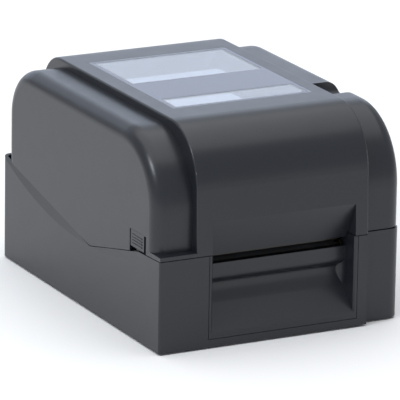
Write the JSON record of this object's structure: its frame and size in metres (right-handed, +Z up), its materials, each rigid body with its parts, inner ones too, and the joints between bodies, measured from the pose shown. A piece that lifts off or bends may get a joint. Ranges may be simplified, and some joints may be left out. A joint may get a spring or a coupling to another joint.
{
  "type": "desktop label printer",
  "caption": "Desktop clamshell label printer: domed cover on a rear hinge, label exit with tear lip in front, roll bay, print mechanism and ribbon spindles inside.",
  "frame": {"origin": "on the table under the middle of the printer's length and width", "axes": "+X to the right seen from the front, +Y to the rear, +Z up"},
  "size_m": [0.204, 0.28, 0.164],
  "materials": {
    "case_dark": "fine-textured charcoal",
    "frame_plastic": "moulded dark",
    "panel_gloss": "glossy dark blue-grey",
    "window_clear": "smoked clear",
    "lens": "diffusing light pipe",
    "button_gloss": "satin key",
    "guide_plastic": "moulded grey",
    "gear_plastic": "moulded acetal",
    "roller_rubber": "ground rubber",
    "foot_rubber": "soft rubber",
    "steel": "plain",
    "steel_sheet": "zinc plated",
    "bronze": "sintered",
    "motor_black": "black with bright caps",
    "heatsink": "black anodised",
    "steel_black": "blackened",
    "head_ceramic": "dark glaze",
    "board_green": "solder mask",
    "chip_black": "moulded",
    "socket_metal": "stamped shell",
    "jack_plastic": "moulded"
  },
  "bodies": {
    "base": {"base_housing": "case_dark", "rubber_feet": "foot_rubber", "case_screws": "steel", "hinge_pins": "steel", "front_panel": "case_dark", "tear_bar": "steel_black", "inner_frame": "frame_plastic", "platen_bushings": "bronze", "drive_plate": "steel_sheet", "idler_axle": "steel", "stepper_motor": "motor_black", "sensor_rail": "steel", "gap_sensor": "chip_black", "latch_keepers": "frame_plastic", "main_board": "board_green", "board_parts": "chip_black", "board_screws": "steel", "power_jack": "jack_plastic", "usb_port": "socket_metal", "usb_host_port": "socket_metal", "network_port": "socket_metal", "serial_port": "chip_black", "switch_housing": "chip_black"},
    "platen": {"platen_shaft": "steel", "platen_rubber": "roller_rubber", "platen_gear": "gear_plastic"},
    "drive_idler": {"idler_gear": "gear_plastic"},
    "motor_rotor": {"motor_pinion": "gear_plastic", "motor_shaft": "steel"},
    "sensor_carriage": {"mark_sensor": "chip_black"},
    "roll_pinion": {"holder_pinion": "guide_plastic"},
    "roll_carriage_left": {"roll_holder_left": "guide_plastic", "holder_rack_left": "guide_plastic"},
    "roll_carriage_right": {"roll_holder_right": "guide_plastic", "holder_rack_right": "guide_plastic"},
    "guide_left": {"label_guide_left": "guide_plastic"},
    "guide_right": {"label_guide_right": "guide_plastic"},
    "lock_slider": {"holder_lock": "guide_plastic"},
    "switch_rocker": {"power_rocker": "chip_black"},
    "cover": {"cover_shell": "case_dark", "top_panel": "panel_gloss", "front_window": "window_clear", "rear_window": "window_clear", "status_lens": "lens", "control_board": "board_green", "head_pivot_rod": "steel", "ribbon_plate_left": "steel_sheet", "ribbon_plate_right": "steel_sheet", "ribbon_bridge": "steel_black", "ribbon_idler_axle": "steel"},
    "feed_key": {"feed_button": "button_gloss"},
    "tab_left": {"release_tab_left": "case_dark"},
    "tab_right": {"release_tab_right": "case_dark"},
    "print_head": {"print_head_line": "head_ceramic", "print_head_heatsink": "heatsink", "head_carrier": "steel_black"},
    "ribbon_rewind": {"ribbon_rewind_spindle": "gear_plastic", "rewind_gear": "gear_plastic"},
    "ribbon_supply": {"ribbon_supply_spindle": "gear_plastic"},
    "ribbon_idler": {"ribbon_idler_gear": "gear_plastic"}
  },
  "joints": [
    {"name": "cover_hinge", "type": "hinge", "parent": "base", "child": "cover", "pos_m": [0, 0.134, 0.082], "axis": [-1, 0, 0], "range_deg": [0, 92]},
    {"name": "tab_left_pull", "type": "slide", "parent": "cover", "child": "tab_left", "axis": [0, -1, 0], "range_m": [0, 0.0035], "stiffness_N_per_m": 400},
    {"name": "tab_right_pull", "type": "slide", "parent": "cover", "child": "tab_right", "axis": [0, -1, 0], "range_m": [0, 0.0035], "stiffness_N_per_m": 400},
    {"name": "feed_button_press", "type": "slide", "parent": "cover", "child": "feed_key", "axis": [0, 0, -1], "range_m": [0, 0.001], "stiffness_N_per_m": 400},
    {"name": "print_head_lift", "type": "hinge", "parent": "cover", "child": "print_head", "pos_m": [0, -0.09, 0.084], "axis": [-1, 0, 0], "range_deg": [0, 3], "stiffness_Nm_per_rad": 4, "springref_deg": -5.73},
    {"name": "ribbon_rewind_spin", "type": "hinge", "parent": "cover", "child": "ribbon_rewind", "pos_m": [0, -0.092, 0.128], "axis": [1, 0, 0], "continuous": true},
    {"name": "ribbon_idler_spin", "type": "hinge", "parent": "cover", "child": "ribbon_idler", "pos_m": [0, -0.09634, 0.10338], "axis": [1, 0, 0], "continuous": true},
    {"name": "ribbon_supply_spin", "type": "hinge", "parent": "cover", "child": "ribbon_supply", "pos_m": [0, -0.064, 0.092], "axis": [1, 0, 0], "continuous": true},
    {"name": "platen_spin", "type": "hinge", "parent": "base", "child": "platen", "pos_m": [0, -0.112, 0.0555], "axis": [1, 0, 0], "continuous": true},
    {"name": "drive_idler_spin", "type": "hinge", "parent": "base", "child": "drive_idler", "pos_m": [0, -0.09132, 0.03814], "axis": [1, 0, 0], "continuous": true},
    {"name": "motor_spin", "type": "hinge", "parent": "base", "child": "motor_rotor", "pos_m": [0, -0.07226, 0.02714], "axis": [1, 0, 0], "continuous": true},
    {"name": "roll_left_slide", "type": "slide", "parent": "base", "child": "roll_carriage_left", "axis": [1, 0, 0], "range_m": [0, 0.045]},
    {"name": "roll_right_slide", "type": "slide", "parent": "base", "child": "roll_carriage_right", "axis": [-1, 0, 0], "range_m": [0, 0.045]},
    {"name": "roll_pinion_spin", "type": "hinge", "parent": "base", "child": "roll_pinion", "pos_m": [0, 0.025, 0.022], "axis": [0, 0, 1], "range_deg": [-290, 5]},
    {"name": "guide_left_slide", "type": "slide", "parent": "base", "child": "guide_left", "axis": [1, 0, 0], "range_m": [0, 0.034]},
    {"name": "guide_right_slide", "type": "slide", "parent": "base", "child": "guide_right", "axis": [-1, 0, 0], "range_m": [0, 0.034]},
    {"name": "sensor_slide", "type": "slide", "parent": "base", "child": "sensor_carriage", "axis": [1, 0, 0], "range_m": [-0.045, 0.045]},
    {"name": "holder_lock_slide", "type": "slide", "parent": "base", "child": "lock_slider", "axis": [0, -1, 0], "range_m": [0, 0.006]},
    {"name": "power_switch_rock", "type": "hinge", "parent": "base", "child": "switch_rocker", "pos_m": [0.078, 0.124, 0.0265], "axis": [0, 0, 1], "range_deg": [-6, 6]}
  ],
  "couplings": [
    {"joint": "drive_idler_spin", "follows": "platen_spin", "ratio": -0.8},
    {"joint": "motor_spin", "follows": "platen_spin", "ratio": 1.7143},
    {"joint": "ribbon_idler_spin", "follows": "ribbon_rewind_spin", "ratio": -1.5},
    {"joint": "roll_right_slide", "follows": "roll_left_slide", "ratio": 1},
    {"joint": "roll_pinion_spin", "follows": "roll_left_slide", "rad_per_m": -111.11},
    {"joint": "guide_right_slide", "follows": "guide_left_slide", "ratio": 1}
  ]
}
